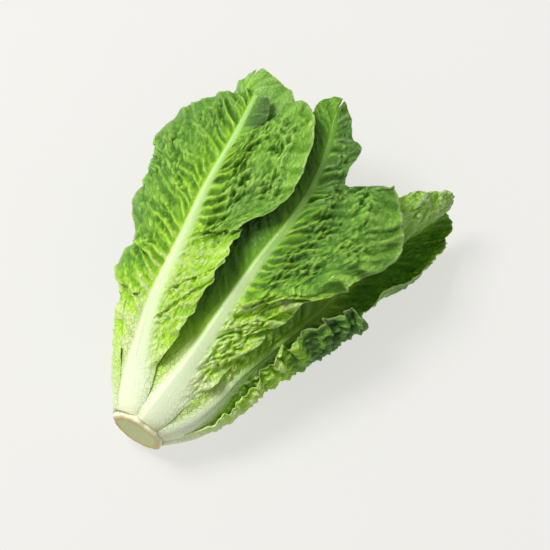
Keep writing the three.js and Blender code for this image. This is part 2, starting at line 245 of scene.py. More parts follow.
def cut_stem_material():
    """Wet pith that browns towards its edge, and pale skin on the stem's side."""
    material = bpy.data.materials.new("cut_stem")
    material.use_nodes = True
    tree = material.node_tree
    shader = tree.nodes["Principled BSDF"]
    radius = add_node(tree, "Attribute", attribute_name="from_middle").outputs["Fac"]
    face = add_node(tree, "Attribute", attribute_name="on_face").outputs["Fac"]
    place = add_node(tree, "TexCoord").outputs["Object"]
    blotch = add_node(tree, "TexNoise", {"Vector": place, "Scale": 260, "Detail": 5}).outputs["Fac"]
    grain = add_node(tree, "TexNoise", {"Vector": place, "Scale": 1500, "Detail": 3}).outputs["Fac"]
    pith = add_ramp(tree, scaled(tree, blotch, 0.16, radius), PITH_COLOURS)
    skin = add_ramp(tree, blotch, STEM_SKIN_COLOURS)
    tree.links.new(mix_colours(tree, face, skin, pith), shader.inputs["Base Color"])
    bump = add_node(tree, "Bump", {"Height": grain, "Strength": 0.35, "Distance": 0.0004})
    tree.links.new(bump.outputs["Normal"], shader.inputs["Normal"])
    set_inputs(shader, Roughness=0.5, IOR=1.42, Subsurface_Weight=0.3, Subsurface_Scale=0.003)
    shader.inputs["Subsurface Radius"].default_value = (1.0, 0.9, 0.4)
    return material


def make_butt():
    """The cut end and its cone, spun from a profile and then tilted, lobed and ringed like a real stem."""
    front, radius = BUTT_FRONT, BUTT_FACE_RADIUS
    profile = [(0, front + 0.5), (6, front + 0.45), (12, front + 0.2), (radius - 3.2, front),
               (radius - 1.3, front + 0.1), (radius - 0.5, front + 0.6), (radius, front + 1.8),
               (radius + 0.1, front + 4.5), (radius - 0.6, BUTT_BACK), *CONE_PROFILE]
    form = bmesh.new()
    points = []
    for (r0, x0), (r1, x1) in zip(profile, profile[1:]):
        for part in np.arange(0, 1, 0.125):
            points.append((x0 + (x1 - x0) * part, 0, r0 + (r1 - r0) * part))
    points.append((CONE_PROFILE[-1][1], 0, 0))
    line = [form.verts.new(p) for p in points]
    for first, second in zip(line, line[1:]):
        form.edges.new((first, second))
    bmesh.ops.spin(form, geom=form.verts[:] + form.edges[:], cent=(0, 0, 0), axis=(1, 0, 0),
                   angle=2 * math.pi, steps=180, use_merge=True)
    bmesh.ops.remove_doubles(form, verts=form.verts[:], dist=0.001)
    bmesh.ops.recalc_face_normals(form, faces=form.faces[:])
    mesh = bpy.data.meshes.new("butt_finish")
    form.to_mesh(mesh)
    form.free()
    x, across, up = places_of(mesh).T
    distance = np.hypot(across, up)
    angle = np.arctan2(up, across)
    lobes = 0.35 * np.sin(5 * angle + 1.1) + 0.3 * np.sin(9 * angle + 0.4) + 0.25 * np.sin(16 * angle)
    lobed = distance + lobes * np.clip(distance / radius, 0, 1) ** 3
    rings = 0.10 * np.sin(distance * 1.9 + 0.8 * np.sin(2 * angle)) + 0.22 * rolling(across / 4, up / 4, 31)
    cut = np.clip((BUTT_BACK - x) / (BUTT_BACK - front), 0, 1)
    on_cut = np.clip(front + 1.2 - x, 0, 1)
    turned = np.stack([
        x + BUTT_TILT * up * cut - rings * on_cut,
        np.cos(angle) * lobed + BUTT_SIDE * cut,
        BUTT_HEIGHT + np.sin(angle) * lobed,
    ], axis=1)
    placed = turned / 1000 + np.array(head_start)
    mesh.vertices.foreach_set("co", placed.ravel())
    keep_values(mesh, from_middle=distance / radius, on_face=on_cut)
    mesh.update()
    return mesh


finish_piece("butt", make_butt(), cut_stem_material())


# Outer leaf under the head
# The leaf that the head lies on, pressed nearly flat, and with it the way that every leaf here grows: side
# veins leave its thick rib, and the waved blade is pleated near the rib and blistered further out.
# The shell that the leaves lie on: its half widths, its heights over and under its axis, and the axis over the
# floor, in millimetres. Each pair is a place along the head and the size there.
LEFT_WIDTH = [[0, 19], [10, 27], [27, 39], [45, 48], [75, 62], [95, 67], [115, 72], [140, 82], [163, 89],
              [185, 93], [221, 92], [270, 82]]
RIGHT_WIDTH = [[0, 19], [10, 31], [25, 43], [45, 53], [65, 60], [85, 71], [105, 81], [130, 92],
               [160, 100], [190, 107], [220, 112], [270, 110]]
UP_HEIGHT = [[0, 19], [20, 25], [45, 31], [80, 37], [120, 41], [170, 44], [220, 44], [270, 40]]
DOWN_HEIGHT = [[0, 19], [20, 21.5], [45, 26], [80, 31], [120, 34.5], [170, 36.5], [220, 37.5], [270, 37]]
AXIS_HEIGHT = [[0, 27], [20, 28], [45, 31], [80, 36], [120, 39], [170, 41], [220, 42], [270, 43]]
SHELL_SQUARENESS = 2.3
# A leaf's rib and blade
LEAF_START = 2.2
RIB_HALF_WIDTH = [[0, 12], [25, 11], [50, 8.6], [80, 6.8], [120, 5.4], [170, 3.9], [220, 2.3], [258, 1.3]]
RIB_OUTWARD = [[0, 2.4], [30, 3.2], [70, 3.0], [120, 2.2], [170, 1.4], [220, 0.8], [256, 0.4]]
SHEATH_REACH = [[0, 8.5], [15, 13], [32, 15], [48, 12], [60, 0]]
RIB_CREST = 0.3
RIB_FAR_EDGE = 1.5
BLADE_THICKNESS = 0.8
MARGIN_THINNING = 0.45
SHEATH_THICKENING = 0.5
LEAST_BACK_HEIGHT = 0.64
FLAT_THICKNESS = 0.1
ROW_CROWDING = 1.12
# The blade's folds and veins, along the rib and across the blade
PLEAT_SPACING = 8.2
PLEAT_LENGTH = 31
BLISTER_LENGTH = 5.6
BLISTER_WIDTH = 7.2
BUNCH_SPACING = 9.5
SWELL_LENGTH = 27
SWELL_WIDTH = 24
VEIN_SPACING = 12.5
VEIN_JITTER = 0.28
VEINS_BEFORE_REPEAT = 64
VEIN_FORK_START = 22
VEIN_FORK_SPREAD = 0.16
VEIN_HEIGHT = 0.9
HOLLOW_REACH = 4
HOLLOW_LIMIT = 1.5


def smooth(start, end, x):
    """0 up to the start and 1 from the end on, with a soft rise between them."""
    t = np.clip((x - start) / (end - start), 0, 1)
    return t * t * (3 - 2 * t)


def along(table, x, column=1):
    """A smooth curve through the rows of a table, read in one of its columns."""
    rows = np.asarray(table, float)
    at, value = rows[:, 0], rows[:, column]
    before = np.maximum(np.arange(len(at)) - 1, 0)
    after = np.minimum(np.arange(len(at)) + 1, len(at) - 1)
    slope = (value[after] - value[before]) / (at[after] - at[before])
    i = np.clip(np.searchsorted(at, x, side="right") - 1, 0, len(at) - 2)
    h = at[i + 1] - at[i]
    t = np.clip((x - at[i]) / h, 0, 1)
    rise = value[i + 1] - value[i]
    m0, m1 = slope[i] * h, slope[i + 1] * h
    return value[i] + t * (m0 + t * (3 * rise - 2 * m0 - m1 + t * (m0 + m1 - 2 * rise)))


def on_shell(x, angle, layer):
    """Points of the shell on a layer, in millimetres from the head's start."""
    c, s = np.cos(angle), np.sin(angle)
    width = np.where(c > 0, along(RIGHT_WIDTH, x), along(LEFT_WIDTH, x))
    height = np.where(s > 0, along(UP_HEIGHT, x), along(DOWN_HEIGHT, x))
    n = SHELL_SQUARENESS
    r = layer * (np.abs(c / width) ** n + np.abs(s / height) ** n) ** (-1 / n)
    return np.stack([x, -c * r, along(AXIS_HEIGHT, x) + s * r], axis=-1)


def unit(vectors):
    """The same ways, each one unit long."""
    return vectors / np.maximum(np.linalg.norm(vectors, axis=-1, keepdims=True), 1e-9)


def shell_normal(x, angle, layer):
    """The way straight out of the shell at points on a layer."""
    around = on_shell(x, angle + 0.02, layer) - on_shell(x, angle - 0.02, layer)
    forward = on_shell(x + 1, angle, layer) - on_shell(x - 1, angle, layer)
    return -unit(np.cross(around, forward))


def cells(x, y, seed):
    """Distances to the nearest and the second nearest of points strewn about one unit apart."""
    count = HILLS_BEFORE_REPEAT
    strewn = np.random.default_rng(seed).random((2, count, count))
    column, row = np.floor(x).astype(int), np.floor(y).astype(int)
    nearest, second = np.full(x.shape, 9.0), np.full(x.shape, 9.0)
    for i in (-1, 0, 1):
        for j in (-1, 0, 1):
            spot_x, spot_y = strewn[:, (column + i) % count, (row + j) % count]
            away = np.hypot(column + i + spot_x - x, row + j + spot_y - y)
            second = np.minimum(second, np.maximum(nearest, away))
            nearest = np.minimum(nearest, away)
    return nearest, second


def blade_side(leaf, side, at, columns):
    """One half of a leaf's middle surface: rows that leave the rib like side veins, over the shell.

    A leaf's minus and plus tables have a row for each place along the rib: how far the blade reaches there,
    and where it lifts off the shell, its tilt beside the rib and at the margin.
    """
    pick = 0 if side < 0 else 1
    side_rows = leaf["minus"] if side < 0 else leaf["plus"]
    table = [row + [0, 0] if len(row) == 2 else row for row in side_rows]
    start = leaf["rib"][0][0]
    sweep = np.radians(along(leaf["sweep"][pick], at)) * smooth(start, start + 45, at)
    teeth = leaf["teeth"][pick] * smooth(start + 15, start + 50, at)
    reach = along(table, at, 1) + leaf["seam"] * (1 - smooth(start, start + 12, at))
    reach = np.maximum(reach, along(SHEATH_REACH, at))
    for size, part in ((9, 1.0), (3.4, 0.8), (1.9, 0.5)):
        reach = reach + teeth * part * rolling(at / size, at * 0 + size, leaf["seed"] + pick)
    reach = np.maximum(reach, 1.5)
    tilt_at_rib, tilt_at_margin = along(table, at, 2), along(table, at, 3)
    tip = leaf["rib"][-1][0]
    ruffle = leaf["ruffle"][pick] * smooth(start + 20, start + 60, at) * (1 - smooth(tip - 18, tip - 4, at))
    x, angle, lift = at.copy(), np.radians(along(leaf["rib"], at, 1)), np.zeros_like(at)
    surface, spent = [], []
    for k in range(columns + 1):
        share = k / columns
        layer = along(leaf["rib"], x, 2)
        turns = (at + reach * share * 0.5) / leaf["wave_length"]
        wave = ruffle * share ** 2 * np.sin(2 * math.pi * turns + side * leaf["phase"])
        surface.append(on_shell(x, angle, layer) + shell_normal(x, angle, layer) * (lift + wave)[:, None])
        spent.append(share * reach)
        curled = ((k + 0.5) / columns) ** leaf["curl"]
        tilt = np.radians(tilt_at_rib + (tilt_at_margin - tilt_at_rib) * curled)
        step = reach / columns
        turn = np.linalg.norm(on_shell(x, angle + 0.01, layer) - on_shell(x, angle - 0.01, layer), axis=-1)
        turn = turn / 0.02
        x = x + step * np.sin(sweep)
        angle = angle + side * step * np.cos(tilt) * np.cos(sweep) / turn
        lift = lift + step * np.sin(tilt) * np.cos(sweep)
    return np.stack(surface, axis=1), np.stack(spent, axis=1), reach


def from_vein(at, across, side, seed):
    """How far each point is from the nearest side vein, where each vein forks halfway out."""
    jitter = np.random.default_rng(seed + 5).uniform(-VEIN_JITTER, VEIN_JITTER, VEINS_BEFORE_REPEAT)
    wander = 0.16 * rolling(at / 21, across / 17 + 3 * side, seed + 6)
    place = at / VEIN_SPACING + wander + 0.19 * side
    fork = np.clip(across - VEIN_FORK_START, 0, None) / VEIN_SPACING * VEIN_FORK_SPREAD
    nearest = np.full(at.shape, 9.0)
    for step in (-1, 0, 1):
        number = np.floor(place).astype(int) + step
        crest = number + 0.5 + jitter[number % VEINS_BEFORE_REPEAT]
        nearest = np.minimum(nearest, np.abs(np.abs(place - crest) - fork))
    return nearest * VEIN_SPACING


def pleats(at, across, outer, warp, seed):
    """Long folds with sharp crests, which run out from the rib and fade."""
    fold = 0.62 - 2.1 * np.abs(rolling(at / PLEAT_SPACING + 0.4 * warp, across / 60, seed + 1))
    fold = fold + 0.5 * rolling(at / 3.4 + warp, across / 18, seed + 3)
    return fold * np.exp(-((outer / PLEAT_LENGTH) ** 4))


def blisters(at, across, outer, warp, seed):
    """Domes that stand up between the small veins, crumpled and in patches."""
    drift = 0.7 * rolling(at / 7, across / 7, seed + 4)
    nearest, second = cells(at / BLISTER_LENGTH + warp, across / BLISTER_WIDTH + drift, seed + 5)
    dome = 0.75 - 1.15 * nearest + 0.35 * smooth(0.0, 0.35, second - nearest)
    crumple = 0.8 * rolling(at / 2.4, across / 3.0, seed + 6)
    crumple = crumple + 0.9 * rolling(at / 7.5, across / 9.5, seed + 7)
    patches = 0.3 + 0.9 * smooth(-0.5, 0.45, rolling(at / 20, across / 17, seed + 11))
    return (dome + crumple) * patches * (0.25 + 0.75 * smooth(3, 22, outer))


def bunches(at, across, seed):
    """Steep folds stacked one on the next, where a blade is longer than its rib."""
    stack = (at + across * 0.35 + 5 * rolling(at / 24, across / 15, seed + 8)) / BUNCH_SPACING
    stack = stack + 0.6 * rolling(at / 12, across / 9, seed + 7)
    place = stack - np.floor(stack)
    fold = np.where(place < 0.7, place / 0.7, (1 - place) / 0.3)
    fold = fold * fold * (3 - 2 * fold) - 0.5
    fold = fold * (0.35 + 0.5 * smooth(-0.5, 0.4, rolling(at / 9, across / 7, seed + 9)))
    fold = fold + 0.65 * rolling(at / 3.6, across / 4.2, seed + 12)
    return fold + 0.4 * rolling(at / 2.1, across / 2.4, seed + 13)


def lapped_folds(folds, side, at, across, seed):
    """How far the blade rises and slides where it laps over itself.

    A fold is its side, its place and lean on the blade, its inner and outer limit, its rise and lap, and how
    far it fades, forwards or, below zero, backwards.
    """
    height, over = np.zeros_like(at), np.zeros_like(at)
    for fold_side, place, lean, inner, limit, rise, lap, fade in folds:
        if fold_side == side:
            line = place + lean * across + 2.5 * rolling(across / 14, at * 0 + 3, seed + 13)
            band = smooth(inner, inner + 12, across) * (1 - smooth(limit, limit + 14, across))
            ahead = (at - line) * np.sign(fade)
            above = smooth(-1.2, 1.6, ahead) * np.exp(-np.clip(ahead, 0, None) / abs(fade))
            height = height + rise * band * above
            over = over - lap * np.sign(fade) * band * above
    return height, over


def relief_of(leaf, side, at, across, share, rib_half):
    """How far each point of the blade rises and slides along the leaf, and how much a vein shows there."""
    pick = 0 if side < 0 else 1
    seed = leaf["seed"] + 11 * pick
    off_rib = smooth(rib_half * 0.7, rib_half + 4, across)
    young = smooth(10, 45, at)
    outer = across - rib_half
    vein_width = 0.6 + 0.9 * np.exp(-across / 16)
    patchy = 0.35 + 0.65 * smooth(-0.3, 0.5, rolling(at / 15, across / 13, seed + 2))
    vein = np.exp(-(from_vein(at, across, side, seed) / vein_width) ** 2) * np.exp(-((outer / 30) ** 2))
    vein = vein * patchy * off_rib * young * leaf["veins"][pick]

    leant = at + leaf["lean"][pick] * across
    strength = {name: along(leaf[name][pick], leant)
                for name in ("pleat", "blister", "bunch", "swell", "frill")}
    warp = 0.6 * rolling(at / 11, across / 11, seed + 8)
    folded = strength["pleat"] * pleats(at, across, outer, warp, seed)
    folded = folded + strength["blister"] * blisters(at, across, outer, warp, seed)
    folded = folded + strength["bunch"] * bunches(at, across, seed)
    calm = 1 - leaf["calm"][pick] * smooth(0.7, 0.86, share)
    swell = rolling(at / SWELL_LENGTH, across / SWELL_WIDTH, seed + 9) * smooth(0.1, 0.6, share)
    lapped, over = lapped_folds(leaf["folds"], side, at, across, seed)

    turn = 2 * math.pi * (at / leaf["frill_length"] + 0.6 * rolling(at / 31, across / 31, seed + 10))
    frill = strength["frill"] * smooth(0.52, 1.0, share) * smooth(15, 40, at)
    height = off_rib * young * (calm * folded + strength["swell"] * swell) + lapped
    height = height + frill * (np.sin(turn) + 0.45 * np.sin(2.3 * turn + 1.3)) + VEIN_HEIGHT * vein
    return height, over - 0.45 * frill * np.sin(2 * turn + 0.6), vein


def soften(values, reach):
    """The values averaged over a square of neighbours on either side."""
    for axis in (0, 1):
        edge = [(0, 0), (0, 0)]
        edge[axis] = (reach, reach)
        padded = np.pad(values, edge, mode="edge")
        total = 0
        for step in range(2 * reach + 1):
            total = total + np.take(padded, np.arange(values.shape[axis]) + step, axis=axis)
        values = total / (2 * reach + 1)
    return values


def grow_leaf(name, leaf, material, rows=120, columns=50):
    """Makes a leaf's closed mesh from a flat grid with a second side, moved on to its place row by row."""
    form = bmesh.new()
    bmesh.ops.create_grid(form, x_segments=rows, y_segments=2 * columns, size=1)
    bmesh.ops.solidify(form, geom=form.faces[:], thickness=FLAT_THICKNESS)
    bmesh.ops.reverse_faces(form, faces=form.faces[:])
    mesh = bpy.data.meshes.new(name + "_finish")
    form.to_mesh(mesh)
    form.free()
    flat = places_of(mesh)
    row = np.rint((flat[:, 0] + 1) / 2 * rows).astype(int)
    column = np.rint((flat[:, 1] + 1) / 2 * 2 * columns).astype(int)
    is_back = flat[:, 2] > -FLAT_THICKNESS / 2

    start, end = leaf["rib"][0][0], leaf["rib"][-1][0]
    first = min(start, LEAF_START) if start < 10 else start
    at = first + (end - first) * (1 - (1 - np.arange(rows + 1) / rows) ** ROW_CROWDING)
    halves = {}
    for side in (-1, 1):
        points, across, reach = blade_side(leaf, side, at, columns)
        grid_at = np.repeat(at[:, None], columns + 1, axis=1)
        share = across / reach[:, None]
        rib_half = np.minimum(along(RIB_HALF_WIDTH, grid_at) * leaf["rib_scale"], 0.9 * reach[:, None])
        height, slide, vein = relief_of(leaf, side, grid_at, across, share, rib_half)
        halves[side] = [points, across * side, share, rib_half, height, slide, vein, grid_at]
    joined = [np.concatenate([a[:, ::-1], b[:, 1:]], axis=1) for a, b in zip(halves[-1], halves[1])]
    points, across, share, rib_half, height, slide, vein, grid_at = joined
    # How far each point lies below its neighbours: the leaf colour paints shade into these hollows and sheen
    # on the crests.
    hollow = np.clip(soften(height, HOLLOW_REACH) - height, -HOLLOW_LIMIT, HOLLOW_LIMIT)

    across_way = unit(np.gradient(points, axis=1))
    forward_way = unit(np.gradient(points, axis=0))
    normal = -unit(np.cross(across_way, forward_way))
    points = points + normal * height[..., None] + forward_way * slide[..., None]
    from_crest = across / rib_half - RIB_CREST
    from_crest = np.where(from_crest > 0, from_crest / (1 - RIB_CREST),
                          -from_crest / (RIB_FAR_EDGE + RIB_CREST))
    profile = np.clip(1 - from_crest ** 1.5, 0, 1) * leaf["rib_scale"]
    at_rib = along(RIB_OUTWARD, grid_at)
    thinned = 1 - MARGIN_THINNING * smooth(0.75, 1, share)
    wall = BLADE_THICKNESS / 2 * thinned + SHEATH_THICKENING * (1 - smooth(10, 45, grid_at))
    front = points + normal * (wall + at_rib * profile)[..., None]
    back = points - normal * (wall + 0.6 * at_rib * profile)[..., None]
    front[..., 2] = np.maximum(front[..., 2], 0)
    back[..., 2] = np.maximum(back[..., 2], LEAST_BACK_HEIGHT)
    place = np.where(is_back[:, None], back[row, column], front[row, column])
    mesh.vertices.foreach_set("co", (place / 1000 + np.array(head_start)).ravel())

    on_plus = across > 0
    leant = grid_at + np.where(on_plus, leaf["lean"][1], leaf["lean"][0]) * np.abs(across)
    minus_tint, plus_tint = leaf["tint"]
    tint_near = np.where(on_plus, along(plus_tint, leant, 1), along(minus_tint, leant, 1))
    tint_far = np.where(on_plus, along(plus_tint, leant, 2), along(minus_tint, leant, 2))
    tint = tint_near + (tint_far - tint_near) * smooth(0.05, 0.8, share)
    beside_rib = np.exp(-np.clip(np.abs(across) - rib_half, 0, None) / 6)
    tint = tint * (1 - 0.25 * beside_rib)
    rib = (1 - smooth(0.35, 1.1, from_crest)) * along(leaf["rib_show"], grid_at)
    # Painted sheen: a pale bluish green over the blade, strongest on the crests as a painted highlight.
    bloom = np.where(on_plus, leaf["bloom"][1], leaf["bloom"][0]) * smooth(0.1, 0.5, share)
    bloom = bloom * smooth(60, 130, grid_at) * np.clip(0.5 - 0.9 * hollow, 0, 1.3)
    values = {"tint": tint, "rib": rib, "vein": vein, "hollow": hollow, "share": share, "bloom": bloom}
    keep_values(mesh, **{key: value[row, column] for key, value in values.items()})
    loops = np.empty(len(mesh.loops), int)
    mesh.loops.foreach_get("vertex_index", loops)
    spread = mesh.uv_layers.new(name="blade")
    flat_place = np.stack([across[row, column], grid_at[row, column]], axis=1)[loops] / 1000
    spread.data.foreach_set("uv", flat_place.ravel().astype(np.float32))
    mesh.update()
    finish_piece(name, mesh, material)


BLADE_COLOURS = [
    (0.0, (0.82, 0.90, 0.62)), (0.15, (0.68, 0.87, 0.32)), (0.32, (0.48, 0.84, 0.045)),
    (0.48, (0.26, 0.56, 0.02)), (0.65, (0.135, 0.34, 0.018)), (0.82, (0.065, 0.19, 0.010)),
    (1.0, (0.026, 0.08, 0.006))]
RIB_COLOURS = [
    (0.0, (0.76, 0.80, 0.56)), (0.10, (0.76, 0.84, 0.58)), (0.40, (0.66, 0.82, 0.40)),
    (0.62, (0.50, 0.73, 0.24)), (1.0, (0.28, 0.55, 0.12))]
NET_COLOUR = (0.55, 0.74, 0.30)
VEIN_COLOUR = (0.60, 0.78, 0.36)
FIBRE_COLOUR = (0.52, 0.64, 0.30)
# Colour of the painted sheen and the painted highlights on the crests.
PAINTED_SHEEN_COLOUR = (0.44, 0.66, 0.28)
RIM_COLOUR = (0.56, 0.78, 0.26)
CUT_BROWN = (0.60, 0.52, 0.26)
BROWN_UP_TO = 0.0075
RIM_START = 0.97
NET_SCALE = 330
NET_THINNESS = 9.0
FINE_NET_SCALE = 900
FINE_NET_THINNESS = 7.0
PATCH_STRENGTH = 0.30
SPECK_STRENGTH = 0.10
# How much darker the hollows are painted, as painted shade.
HOLLOW_SHADE_STRENGTH = 0.12
NET_STRENGTH = 0.2
VEIN_STRENGTH = 0.45
FIBRE_STRENGTH = 0.22
BROWN_STRENGTH = 0.55


def net_lines(tree, flat, scale, thinness):
    """A net of fine veins, 1 on a line and 0 inside its meshes."""
    net = add_node(tree, "TexVoronoi", {"Vector": flat, "Scale": scale}, feature="DISTANCE_TO_EDGE",
                   voronoi_dimensions="2D").outputs["Distance"]
    return calculate(tree, "SUBTRACT", 1.0, calculate(tree, "MULTIPLY", net, thinness, True), True)


def add_up(tree, *terms):
    """The sum of (value, factor) terms."""
    total = 0.0
    for value, factor in terms:
        total = scaled(tree, value, factor, total)
    return total


def blade_colour(tree, read, patches, specks, on_net, deep):
    """Green by tint, with painted shade in hollows, pale net, veins and rim, and painted sheen on crests."""
    # The tint shifts with random patches and specks, and darkens in the hollows as painted shade.
    shift = add_up(tree, (calculate(tree, "SUBTRACT", patches, 0.5), PATCH_STRENGTH),
                   (calculate(tree, "SUBTRACT", specks, 0.5), SPECK_STRENGTH),
                   (read["hollow"], HOLLOW_SHADE_STRENGTH))
    shift = calculate(tree, "ADD", shift, deep)
    # Only the green parts vary: the white base stays even.
    shift = calculate(tree, "MULTIPLY", shift, calculate(tree, "MULTIPLY", read["tint"], 2.2, True))
    blade = add_ramp(tree, calculate(tree, "ADD", read["tint"], shift, True), BLADE_COLOURS)
    on_net = calculate(tree, "MULTIPLY", on_net, NET_STRENGTH)
    with_net = mix_colours(tree, on_net, blade, mix_colours(tree, 0.45, blade, NET_COLOUR))
    on_vein = calculate(tree, "MULTIPLY", read["vein"], VEIN_STRENGTH, True)
    with_veins = mix_colours(tree, on_vein, with_net, mix_colours(tree, 0.7, blade, VEIN_COLOUR))
    # Painted sheen and crest highlights mixed over the blade.
    with_sheen = mix_colours(tree, read["bloom"], with_veins, PAINTED_SHEEN_COLOUR)
    on_rim = calculate(tree, "MULTIPLY", calculate(tree, "SUBTRACT", read["share"], RIM_START), 30, True)
    return mix_colours(tree, on_rim, with_sheen, mix_colours(tree, 0.65, blade, RIM_COLOUR))


def leaf_material(name, deep=0.0):
    """A satin leaf: its blade, its fibrous pale rib, and the brown of the cut at its foot."""
    material = bpy.data.materials.new(name)
    material.use_nodes = True
    tree = material.node_tree
    shader = tree.nodes["Principled BSDF"]
    read = {key: add_node(tree, "Attribute", attribute_name=key).outputs["Fac"]
            for key in ("tint", "rib", "vein", "hollow", "share", "bloom")}
    flat = add_node(tree, "UVMap", uv_map="blade").outputs["UV"]
    along_blade = add_node(tree, "SeparateXYZ", {"Vector": flat}).outputs["Y"]
    place = add_node(tree, "TexCoord").outputs["Object"]
    patches = add_node(tree, "TexNoise", {"Vector": place, "Scale": 70, "Detail": 4}).outputs["Fac"]
    specks = add_node(tree, "TexNoise", {"Vector": place, "Scale": 900, "Detail": 3}).outputs["Fac"]
    on_net = net_lines(tree, flat, NET_SCALE, NET_THINNESS)
    on_fine_net = net_lines(tree, flat, FINE_NET_SCALE, FINE_NET_THINNESS)
    drawn_out = add_node(tree, "Mapping", {"Vector": flat, "Scale": (1.0, 0.06, 1.0)}).outputs["Vector"]
    fibres = add_node(tree, "TexNoise", {"Vector": drawn_out, "Scale": 1100, "Detail": 3}).outputs["Fac"]

    blade = blade_colour(tree, read, patches, specks, on_net, deep)
    rib = add_ramp(tree, calculate(tree, "MULTIPLY", along_blade, 4.0, True), RIB_COLOURS)
    rib = mix_colours(tree, calculate(tree, "MULTIPLY", fibres, FIBRE_STRENGTH), rib, FIBRE_COLOUR)
    coloured = mix_colours(tree, read["rib"], blade, rib)
    browned = calculate(tree, "MULTIPLY", calculate(tree, "SUBTRACT", BROWN_UP_TO, along_blade), 160, True)
    browned = calculate(tree, "MULTIPLY", browned, scaled(tree, patches, 1.1, 0.5), True)
    browned = calculate(tree, "MULTIPLY", browned, BROWN_STRENGTH)
    coloured = mix_colours(tree, browned, coloured, CUT_BROWN)
    tree.links.new(coloured, shader.inputs["Base Color"])

    tree.links.new(scaled(tree, specks, 0.22, 0.18), shader.inputs["Roughness"])
    surface = add_up(tree, (on_net, 0.55), (on_fine_net, 0.22), (specks, 0.5))
    surface = calculate(tree, "MULTIPLY", surface, scaled(tree, read["rib"], -0.85, 1.0))
    grooves = calculate(tree, "MULTIPLY", fibres, calculate(tree, "MULTIPLY", read["rib"], 0.25))
    surface = calculate(tree, "ADD", surface, grooves)
    bump = add_node(tree, "Bump", {"Height": surface, "Strength": 0.9, "Distance": 0.0013})
    tree.links.new(bump.outputs["Normal"], shader.inputs["Normal"])
    set_inputs(shader, IOR=1.45, Specular_IOR_Level=0.45, Subsurface_Weight=0.2, Subsurface_Scale=0.003)
    shader.inputs["Subsurface Radius"].default_value = (0.75, 1.0, 0.2)
    return material


def even(value):
    """The same strength all along both sides of a leaf."""
    return [[[0, value], [270, value]]] * 2


def plain_leaf(**own):
    """A leaf with quiet folds, changed by its own values.

    Values in pairs are for the minus side and the plus side. A rib row is its place, its angle round the head
    in degrees and its layer of the shell. A tint row is its place and the tint near the rib and further out.
    Sweep is how far the side veins lean forward, in degrees, curl is how late a blade's tilt sets in, seam is
    extra reach at the foot, and calm is how far the folds fade at the margin.
    """
    leaf = dict(
        sweep=even(44), curl=1.5, folds=[], calm=[0, 0], lean=[0, 0], rib_show=[[0, 1], [270, 1]],
        # The sheen pair sets how much painted sheen and painted highlight each side gets on its crests.
        bloom=[0.02, 0.02], ruffle=[1, 1], wave_length=40, phase=0, teeth=[0.6, 0.6], seam=1.5, rib_scale=1,
        pleat=even(0.7), blister=even(0.6), bunch=even(0), swell=even(1.0), frill=even(1.5),
        frill_length=17, veins=[1, 1], seed=100,
        tint=[[[0, 0.02, 0.05], [40, 0.1, 0.3], [90, 0.35, 0.5], [230, 0.6, 0.65]]] * 2)
    leaf.update(own)
    return leaf


outer_green = leaf_material("outer_leaf_green")
UNDER_SIDE = [[35, 16], [60, 32], [100, 46], [145, 52], [180, 40], [205, 20], [218, 4]]
outer_leaf_under = plain_leaf(
    rib=[[5.8, 268, 0.86], [60, 270, 1.09], [85, 270, 1.13], [120, 268, 1.13], [180, 267, 1.13],
         [218, 266, 1.13]],
    minus=[[5.8, 11]] + UNDER_SIDE, plus=[[5.8, 9.5]] + UNDER_SIDE, ruffle=[0.3, 0.3], wave_length=44,
    frill=even(1.0), swell=even(0.5), seed=110)
grow_leaf("outer_leaf_under", outer_leaf_under, outer_green, rows=120, columns=40)

